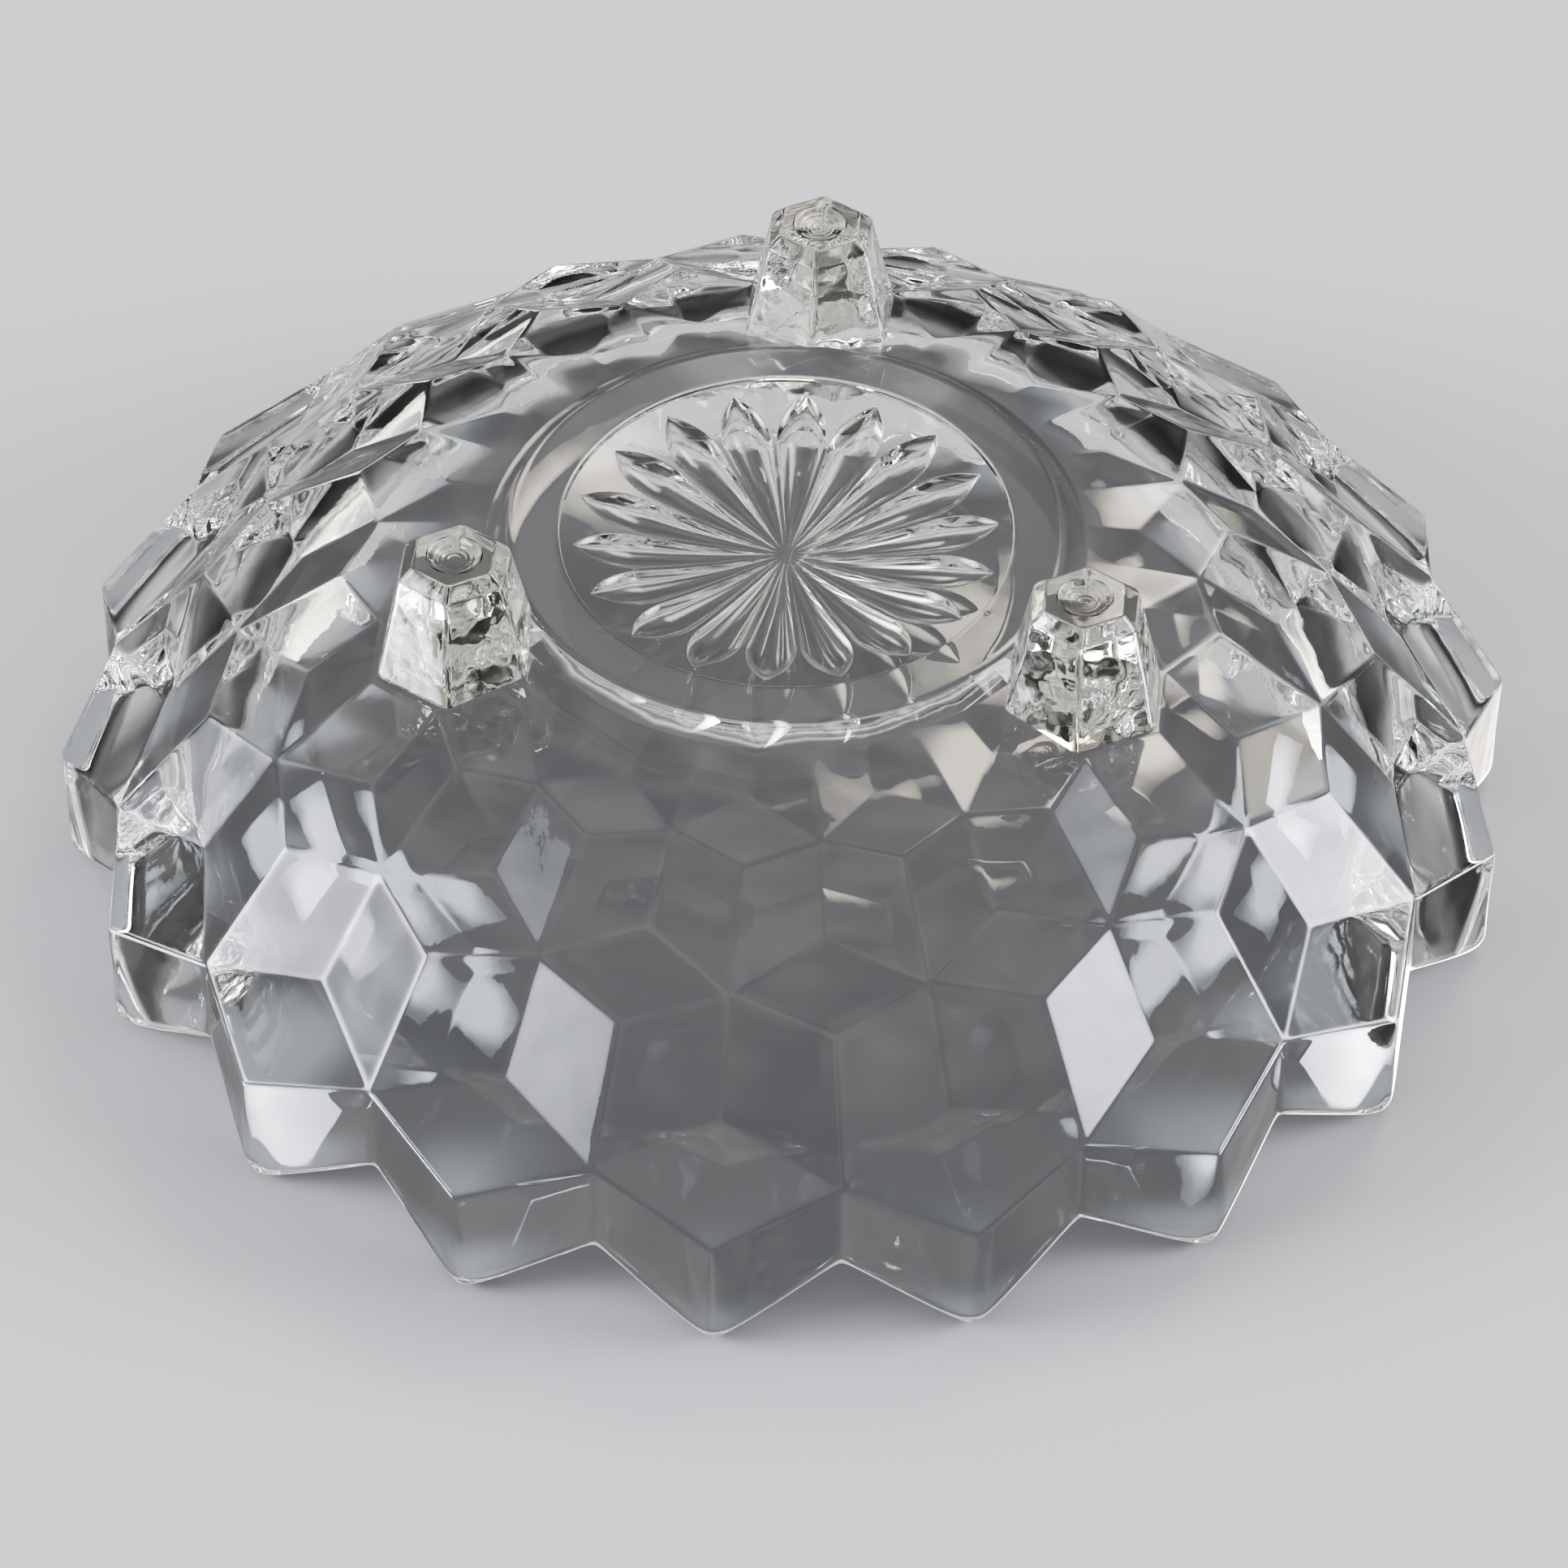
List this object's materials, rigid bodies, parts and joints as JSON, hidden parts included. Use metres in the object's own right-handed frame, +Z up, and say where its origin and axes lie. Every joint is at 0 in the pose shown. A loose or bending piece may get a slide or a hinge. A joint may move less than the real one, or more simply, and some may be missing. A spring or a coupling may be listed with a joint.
{
  "type": "footed candy dish",
  "caption": "Shallow flared candy dish of clear pressed glass for sweets on a table, with cube facets outside, a zigzag rim, a rayed base medallion and hexagonal toes.",
  "frame": {"origin": "on the table, under the centre of the three toes: the middle of the bottom of the bounding box", "axes": "+Z up through the open mouth of the bowl; +X through one rim point and over toe_1; the toes are a third of a turn apart"},
  "size_m": [0.178, 0.1752, 0.06],
  "materials": {
    "clear_glass": "fire-polished clear pressed glass",
    "toe_glass": "clear pressed glass, thicker, with a faint warm tint"
  },
  "bodies": {
    "root": {"bowl": "clear_glass", "base_medallion": "clear_glass", "toe_1": "toe_glass", "toe_2": "toe_glass", "toe_3": "toe_glass"}
  },
  "joints": []
}
